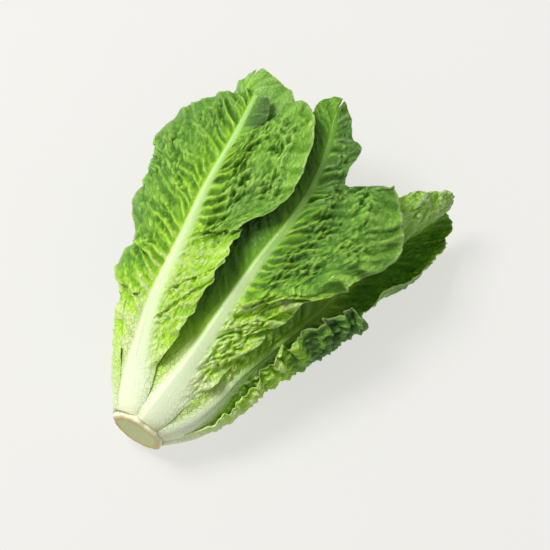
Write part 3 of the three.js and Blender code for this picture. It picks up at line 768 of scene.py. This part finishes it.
# Outer leaf at the top left
# The largest leaf on show. Its long pale rib crosses the whole head, the blade's right side is a bunched
# yellow-green wing below and a raised lobe above, and its left side folds down over the edge of the head.
outer_leaf_top_left = plain_leaf(
    sweep=[[[0, 44], [125, 44], [146, 47], [156, 53], [166, 59], [176, 64], [186, 68], [194, 50],
            [236, 30]],
           [[0, 34], [236, 34]]],
    ruffle=[1.5, 2], wave_length=44, phase=1, seed=120,
    rib=[[5.8, 124, 0.86], [30, 130, 0.9], [60, 132.5, 0.97], [85, 133, 1], [120, 133.5, 1], [155, 135, 1],
         [200, 136.5, 1], [236, 141, 1]],
    minus=[[5.8, 7.8], [20, 11], [30, 14], [36, 22, 5, 15], [46, 35, 10, 24], [56, 41, 10, 28],
           [66, 46.5, 10, 30], [76, 50, 8, 32], [86, 51, 5, 32], [96, 49, 0, 30], [106, 48, -5, 26],
           [114, 52, -8, 26], [119, 65, -8, 28], [126, 74, -10, 30], [136, 78.5, -10, 30],
           [146, 80, -8, 28], [156, 83, -8, 28], [166, 83, -8, 28], [176, 77, -6, 24], [184, 66, 0, 18],
           [188, 48, 0, 10], [191, 21], [195, 17], [206, 17], [217, 17], [223, 15], [229, 12.5], [236, 9]],
    plus=[[5.8, 10], [20, 15], [35, 18], [42, 22], [47, 40], [56, 50, 0, 5], [70, 52, 0, 6], [80, 50, 0, 6],
          [86, 56, 0, 6], [100, 66, 0, 6], [120, 78, 0, 6], [134, 80, 0, 6], [165, 70, 0, 4], [188, 54],
          [206, 36], [220, 22], [230, 14], [236, 7]],
    folds=[[-1, 128, -0.33, 6, 80, 5.0, 9.0, 30], [-1, 58, 0.3, 3, 60, 2.0, 4.0, 8],
           [-1, 76, 0.2, 3, 60, 2.0, 4.0, 8], [1, 73, -0.36, 8, 70, 3.5, 5.0, 18],
           [1, 92, -0.1, 20, 70, 4.5, 6.0, 22], [1, 140, 0.1, 14, 70, 4.0, 6.0, 26]],
    pleat=[[[0, 0.3], [60, 0.6], [112, 0.8], [130, 3.8], [195, 3.4], [208, 0.6], [250, 0.4]],
           [[0, 0.3], [60, 2.8], [110, 4.2], [226, 2.8]]],
    blister=[[[0, 0.5], [50, 0.9], [116, 1.2], [135, 2.9], [200, 2.7], [212, 0.4], [250, 0.3]],
             [[0, 0.3], [60, 1.8], [226, 2.4]]],
    veins=[0.8, 0.5], calm=[0.7, 0.85], lean=[0.33, 0], bloom=[0.2, 0.15],
    bunch=[[[0, 0], [35, 2.6], [112, 2.6], [122, 1.0], [132, 0], [250, 0]], [[0, 0], [60, 1.0], [226, 0]]],
    swell=[[[0, 0.8], [110, 3.6], [190, 4.2], [204, 1.0]], [[0, 0.8], [90, 4.4], [226, 4.0]]],
    frill=[[[0, 1.6], [100, 1.6], [130, 0.9], [226, 0.8]], [[0, 1.4], [80, 0.8], [226, 0.6]]],
    frill_length=15,
    tint=[[[0, 0.02, 0.05], [28, 0.06, 0.12], [38, 0.20, 0.25], [60, 0.28, 0.31], [114, 0.31, 0.33],
           [128, 0.48, 0.52], [150, 0.58, 0.60], [205, 0.60, 0.60], [212, 0.80, 0.90], [250, 0.76, 0.86]],
          [[0, 0.02, 0.05], [40, 0.08, 0.22], [62, 0.22, 0.50], [90, 0.38, 0.62], [130, 0.50, 0.66],
           [180, 0.54, 0.66], [236, 0.60, 0.66]]])
grow_leaf("outer_leaf_top_left", outer_leaf_top_left, outer_green, rows=256, columns=90)

# Outer leaf at the top
# It lies beside the last and has a long rib too. Its left side is under the other's lobe, and its right side
# opens into frills low down and a broad lobe in the middle, below an upright tip.
outer_leaf_top = plain_leaf(
    sweep=[[[0, 44], [225, 44], [246, 56], [250, 68], [258, 86]],
           [[0, 44], [215, 42], [246, 30], [252, 46], [258, 84]]],
    ruffle=[1.5, 1], wave_length=40, phase=2, seed=130,
    rib=[[5.8, 69, 0.86], [30, 66, 0.84], [62, 65, 0.82], [100, 64.5, 0.82], [140, 62, 0.82],
         [165, 59, 0.82], [198, 60, 0.82], [228, 66, 0.82], [258, 79, 0.84]],
    minus=[[5.8, 7], [20, 14], [35, 25], [50, 38, 0, 5], [66, 43, 0, 12], [76, 50, 0, 14], [86, 54, 0, 16],
           [94, 66, 0, 18], [101, 76, 0, 24], [106, 78, 0, 28], [114, 88, 0, 34], [124, 93, 0, 38],
           [136, 92, 0, 38], [146, 87.5, 0, 38], [160, 80, 0, 36], [170, 74, 0, 34], [178, 68, 0, 30],
           [185, 58, 0, 24], [190, 42, 0, 12], [194, 26], [200, 24], [210, 24.5], [222, 27], [229, 22],
           [234, 18], [240, 15.5], [246, 14.5], [250, 12.5], [254, 11], [258, 9]],
    plus=[[5.8, 9], [20, 16], [40, 28], [60, 38], [90, 42], [130, 46], [165, 44], [195, 38], [220, 32],
          [238, 24], [246, 21], [252, 16], [258, 9.5]],
    folds=[[-1, 178, 0, 2, 90, 5.0, 7.0, -24], [-1, 96, 0, 4, 80, 6.5, 9.0, 30],
           [-1, 72, 0.25, 8, 60, 2.0, 4.0, 12]],
    rib_show=[[0, 1], [115, 1], [150, 0.6], [200, 0.4], [256, 0.35]],
    pleat=[[[0, 0.3], [50, 1.0], [90, 3.6], [170, 3.2], [256, 1.2]], [[0, 0.2], [80, 0.6], [256, 1.2]]],
    blister=[[[0, 0.3], [40, 0.9], [100, 2.4], [180, 2.4], [256, 1.4]], [[0, 0.2], [60, 0.5], [256, 1.4]]],
    calm=[0.7, 0.5], veins=[1, 0.2], bloom=[0.14, 0.05],
    bunch=[[[0, 0], [34, 3.4], [85, 3.0], [105, 0.8], [256, 0]], [[0, 0], [256, 0]]],
    swell=[[[0, 0.8], [110, 5.0], [256, 2.0]], [[0, 0.6], [256, 1.4]]],
    frill=[[[0, 1.5], [50, 3.2], [100, 2.8], [122, 1.4], [165, 0.8], [225, 1.2], [256, 0.3]],
           [[0, 1.0], [225, 0.9], [256, 0.3]]],
    frill_length=17,
    # The plus side, under the top left leaf's lobe, is darkened partly as the leaf's own deep green and partly
    # as painted shade.
    tint=[[[0, 0.02, 0.05], [28, 0.04, 0.10], [40, 0.16, 0.25], [60, 0.27, 0.32], [92, 0.32, 0.36],
           [106, 0.58, 0.60], [160, 0.70, 0.66], [200, 0.84, 0.84], [256, 0.86, 0.84]],
          [[0, 0.02, 0.08], [45, 0.16, 0.42], [80, 0.50, 0.78], [120, 0.68, 0.94], [180, 0.72, 0.9],
           [225, 0.76, 0.72], [256, 0.70, 0.66]]])
grow_leaf("outer_leaf_top", outer_leaf_top, outer_green, rows=256, columns=90)

# Outer leaf on the right
# The outermost leaf on the low right side, short and frilled. Its smooth pale sheath wraps the base of the
# head.
outer_leaf_right = plain_leaf(
    sweep=[[[0, 44], [164, 44]], [[0, 12], [30, 16], [60, 24], [90, 32], [164, 40]]],
    ruffle=[0.8, 1.2], wave_length=34, phase=0.5, seed=140,
    rib=[[5.8, -28, 0.88], [20, -28, 1.02], [40, -28, 1.04], [60, -28, 1], [100, -30, 1], [130, -28, 1],
         [164, -25, 1]],
    minus=[[5.8, 13], [16, 16], [26, 20], [36, 20], [46, 28], [56, 28], [66, 36], [76, 32], [86, 36],
           [96, 40], [106, 35], [118, 26], [136, 14], [152, 7], [164, 3]],
    plus=[[5.8, 18], [12, 19.5], [20, 27], [30, 35], [40, 43], [50, 50], [60, 60], [70, 71], [80, 78],
          [90, 82], [100, 77], [110, 60], [120, 48], [130, 38], [146, 25], [158, 12], [164, 5]],
    teeth=[2.0, 2.4], pleat=even(1.2), blister=even(1.6),
    bunch=[[[0, 0], [30, 2.0], [60, 2.6], [164, 2.2]], [[0, 0], [30, 3.0], [90, 3.2], [164, 2.4]]],
    frill=[[[0, 1.0], [60, 1.6], [164, 1.4]], [[0, 1.4], [40, 2.6], [120, 2.6], [164, 1.6]]],
    frill_length=11,
    tint=[[[0, 0.04, 0.06], [25, 0.10, 0.2], [45, 0.2, 0.34], [80, 0.34, 0.42], [110, 0.6, 0.7],
           [164, 0.82, 0.88]],
          [[0, 0.04, 0.05], [30, 0.08, 0.22], [42, 0.32, 0.32], [56, 0.35, 0.40], [68, 0.48, 0.56],
           [82, 0.78, 0.82], [100, 0.86, 0.86], [164, 0.86, 0.80]]])
grow_leaf("outer_leaf_right", outer_leaf_right, outer_green, rows=200, columns=74)

# Outer leaf on the left
# It lies low on the left side, mostly under the top left leaf, and shows a frilled pale margin beside the
# base.
outer_leaf_left = plain_leaf(
    ruffle=[1.6, 0.8], wave_length=34, phase=2.5, seed=150,
    rib=[[5.8, 190, 0.88], [40, 202, 0.97], [100, 206, 0.95], [150, 204, 0.93], [190, 203, 0.93]],
    minus=[[5.8, 13], [15, 22], [25, 32], [40, 48], [65, 60], [100, 68], [140, 62], [168, 38], [184, 16],
           [190, 4]],
    plus=[[5.8, 11], [35, 16], [60, 28], [100, 38], [140, 38], [168, 26], [184, 12], [190, 4]],
    teeth=[1.5, 1.0], blister=even(1.4),
    bunch=[[[0, 0], [24, 2.4], [120, 1.6], [190, 0]]] * 2,
    frill=[[[0, 1.2], [40, 2.2], [120, 1.8], [190, 1.0]]] * 2,
    frill_length=12,
    tint=[[[0, 0.02, 0.06], [25, 0.16, 0.26], [60, 0.34, 0.38], [80, 0.44, 0.5], [110, 0.6, 0.7],
           [190, 0.7, 0.76]]] * 2)
grow_leaf("outer_leaf_left", outer_leaf_left, outer_green, rows=150, columns=48)

# Middle leaves that show
# The next layer in. The left one's smooth broad tip stands out beyond the outer leaves, and the right one
# ends in a hood whose margin curls back over itself.
middle_green = leaf_material("middle_leaf_green")
middle_leaf_left = plain_leaf(
    sweep=[[[0, 44], [225, 44], [254, 70]], [[0, 44], [238, 44], [254, 64]]],
    ruffle=[1.5, 1.2], wave_length=42, phase=1.5, rib_scale=0.8, seed=160,
    rib=[[15, 150, 0.5], [80, 150, 0.7], [160, 150, 0.7], [210, 156, 0.74], [254, 163, 0.82]],
    minus=[[15, 6.4], [45, 14], [80, 34], [130, 46], [180, 54], [208, 50], [225, 42], [232, 34], [238, 27],
           [243, 21], [248, 16], [251, 13], [254, 9.5]],
    plus=[[15, 7], [45, 12], [80, 28], [130, 40], [180, 42], [208, 34], [225, 30], [232, 26], [238, 21],
          [243, 18.5], [248, 15.5], [251, 13], [254, 9.5]],
    blister=even(0.5), pleat=even(0.7),
    frill=[[[0, 0.6], [225, 0.6], [254, 0.2]]] * 2,
    teeth=[0.5, 0.5], frill_length=21, swell=even(2.0), bloom=[0.4, 0.4],
    tint=[[[0, 0.1, 0.2], [80, 0.4, 0.6], [160, 0.56, 0.62], [254, 0.54, 0.56]]] * 2)
grow_leaf("middle_leaf_left", middle_leaf_left, middle_green, rows=160, columns=50)

middle_leaf_right = plain_leaf(
    sweep=[[[0, 44], [215, 44], [245, 70]]] * 2,
    ruffle=[1.2, 1.2], wave_length=42, phase=0.3, rib_scale=0.8, seed=170,
    rib=[[5.8, 18, 0.86], [20, 15, 0.84], [40, 13, 0.8], [60, 12, 0.77], [100, 9, 0.75], [160, 0, 0.72],
         [205, -6, 0.8], [225, -5, 0.86], [245, -4, 0.93]],
    minus=[[5.8, 8], [20, 14, 15, 20], [45, 30, 25, 30], [80, 38, 28, 34], [105, 34, 24, 40],
           [117, 32, 22, 70], [126, 37, 35, 130], [136, 49, 35, 180], [148, 54, 30, 195],
           [175, 52, 30, 195], [200, 44, 30, 195], [218, 32, 30, 180], [231, 20, 30, 120], [245, 6]],
    plus=[[5.8, 6.3], [20, 10], [45, 24], [80, 38], [130, 42], [170, 48], [196, 54], [212, 46], [227, 33],
          [238, 20], [245, 9]],
    blister=[[[0, 0.5], [60, 1.2], [240, 1.2]], [[0, 0.4], [100, 1.0], [190, 1.6], [240, 1.6]]],
    bunch=[[[0, 0], [36, 2.6], [95, 2.6], [120, 0.6], [240, 0]],
           [[0, 0], [36, 2.4], [80, 1.6], [120, 0], [240, 0]]],
    rib_show=[[0, 1], [45, 0.8], [75, 0.3], [240, 0.35]],
    swell=even(2.0), bloom=[0.0, 0.8], pleat=even(1.2),
    frill=[[[0, 1.5], [90, 2.4], [130, 0.8], [240, 0.8]]] * 2,
    teeth=[1.4, 0.7],
    tint=[[[0, 0.03, 0.06], [30, 0.12, 0.26], [50, 0.26, 0.36], [90, 0.34, 0.40], [115, 0.5, 0.58],
           [240, 0.66, 0.70]],
          [[0, 0.03, 0.06], [40, 0.16, 0.34], [90, 0.5, 0.62], [180, 0.50, 0.43], [240, 0.44, 0.37]]])
grow_leaf("middle_leaf_right", middle_leaf_right, middle_green, rows=220, columns=74)

# Middle leaves that are hidden
# They fill the head between the outer leaves and its heart, and show only their tips, between the others.
MIDDLE_TOP_SIDE = [[18, 7], [45, 12], [80, 28], [130, 44], [180, 50], [215, 32], [230, 14], [236, 4]]
middle_leaf_top = plain_leaf(
    phase=0.8, rib_scale=0.7, seed=180, frill=even(1.0), blister=even(0.5),
    rib=[[18, 88, 0.56], [80, 84, 0.6], [160, 86, 0.6], [236, 92, 0.6]],
    minus=MIDDLE_TOP_SIDE, plus=MIDDLE_TOP_SIDE)
grow_leaf("middle_leaf_top", middle_leaf_top, middle_green, rows=100, columns=34)
middle_leaf_under = plain_leaf(
    phase=1.9, rib_scale=0.7, seed=190, frill=even(1.0), blister=even(0.5),
    rib=[[18, 244, 0.58], [80, 246, 0.82], [160, 244, 0.82], [228, 240, 0.82]],
    minus=[[18, 7], [45, 12], [80, 30], [130, 46], [180, 50], [210, 32], [224, 12], [228, 4]],
    plus=[[18, 6], [30, 7], [45, 12], [80, 26], [130, 38], [180, 40], [210, 26], [224, 12], [228, 4]])
grow_leaf("middle_leaf_under", middle_leaf_under, middle_green, rows=100, columns=34)
middle_leaf_low_right = plain_leaf(
    phase=2.7, rib_scale=0.7, seed=200, frill=even(1.0), blister=even(0.5),
    rib=[[18, 318, 0.58], [80, 316, 0.6], [160, 320, 0.6], [218, 322, 0.6]],
    minus=[[18, 6], [30, 7], [45, 12], [80, 28], [130, 42], [170, 44], [200, 28], [214, 12], [218, 4]],
    plus=[[18, 7], [45, 12], [80, 26], [130, 38], [170, 40], [200, 26], [214, 12], [218, 4]])
grow_leaf("middle_leaf_low_right", middle_leaf_low_right, middle_green, rows=100, columns=34)

# Heart
# The young inner leaves, small, soft and yellow, packed round the middle of the head.
heart_yellow = leaf_material("inner_leaf_yellow", deep=-0.06)
HEART_TINT = [[[0, 0.02, 0.05], [60, 0.1, 0.25], [120, 0.28, 0.38], [208, 0.4, 0.44]]] * 2


def inner_leaf(rib, side_rows, **own):
    """A small soft leaf with the same rows on both sides."""
    return plain_leaf(
        rib=rib, minus=side_rows, plus=side_rows, sweep=even(40), ruffle=[0.8, 0.8], wave_length=36,
        rib_scale=0.5, tint=HEART_TINT, frill=even(0.9), blister=even(0.4), pleat=even(0.4),
        swell=even(0.6), frill_length=12, teeth=[0.3, 0.3], **own)


inner_leaves = {
    "inner_leaf_top": inner_leaf(
        [[30, 118, 0.3], [90, 118, 0.48], [150, 116, 0.48], [208, 114, 0.48]],
        [[30, 5], [60, 14], [100, 28], [150, 36], [185, 24], [202, 10], [208, 4]],
        phase=0.4, seed=210),
    "inner_leaf_under": inner_leaf(
        [[30, 292, 0.44], [90, 290, 0.48], [150, 290, 0.48], [204, 290, 0.48]],
        [[30, 5], [60, 14], [100, 28], [150, 36], [182, 24], [198, 10], [204, 4]],
        phase=1.4, seed=220),
    "inner_leaf_right": inner_leaf(
        [[30, 24, 0.28], [90, 20, 0.37], [150, 18, 0.37], [190, 16, 0.37]],
        [[30, 5], [60, 12], [100, 24], [140, 30], [170, 20], [184, 9], [190, 4]],
        phase=2.2, seed=230),
    "inner_leaf_left": inner_leaf(
        [[30, 204, 0.3], [90, 202, 0.37], [150, 200, 0.37], [194, 198, 0.37]],
        [[30, 5], [60, 12], [100, 24], [140, 30], [170, 20], [188, 9], [194, 4]],
        phase=0.1, seed=240),
    "heart_leaf_upper": inner_leaf(
        [[42, 80, 0.16], [90, 84, 0.24], [150, 86, 0.24]],
        [[42, 3.5], [70, 9], [105, 14], [130, 9], [146, 4], [150, 3]],
        phase=0.6, seed=250),
    "heart_leaf_lower": inner_leaf(
        [[42, 260, 0.25], [90, 262, 0.25], [138, 266, 0.24]],
        [[42, 3.5], [70, 9], [100, 13], [122, 9], [134, 4], [138, 3]],
        phase=1.6, seed=260),
}
for name, leaf in inner_leaves.items():
    grow_leaf(name, leaf, heart_yellow, rows=70, columns=22)
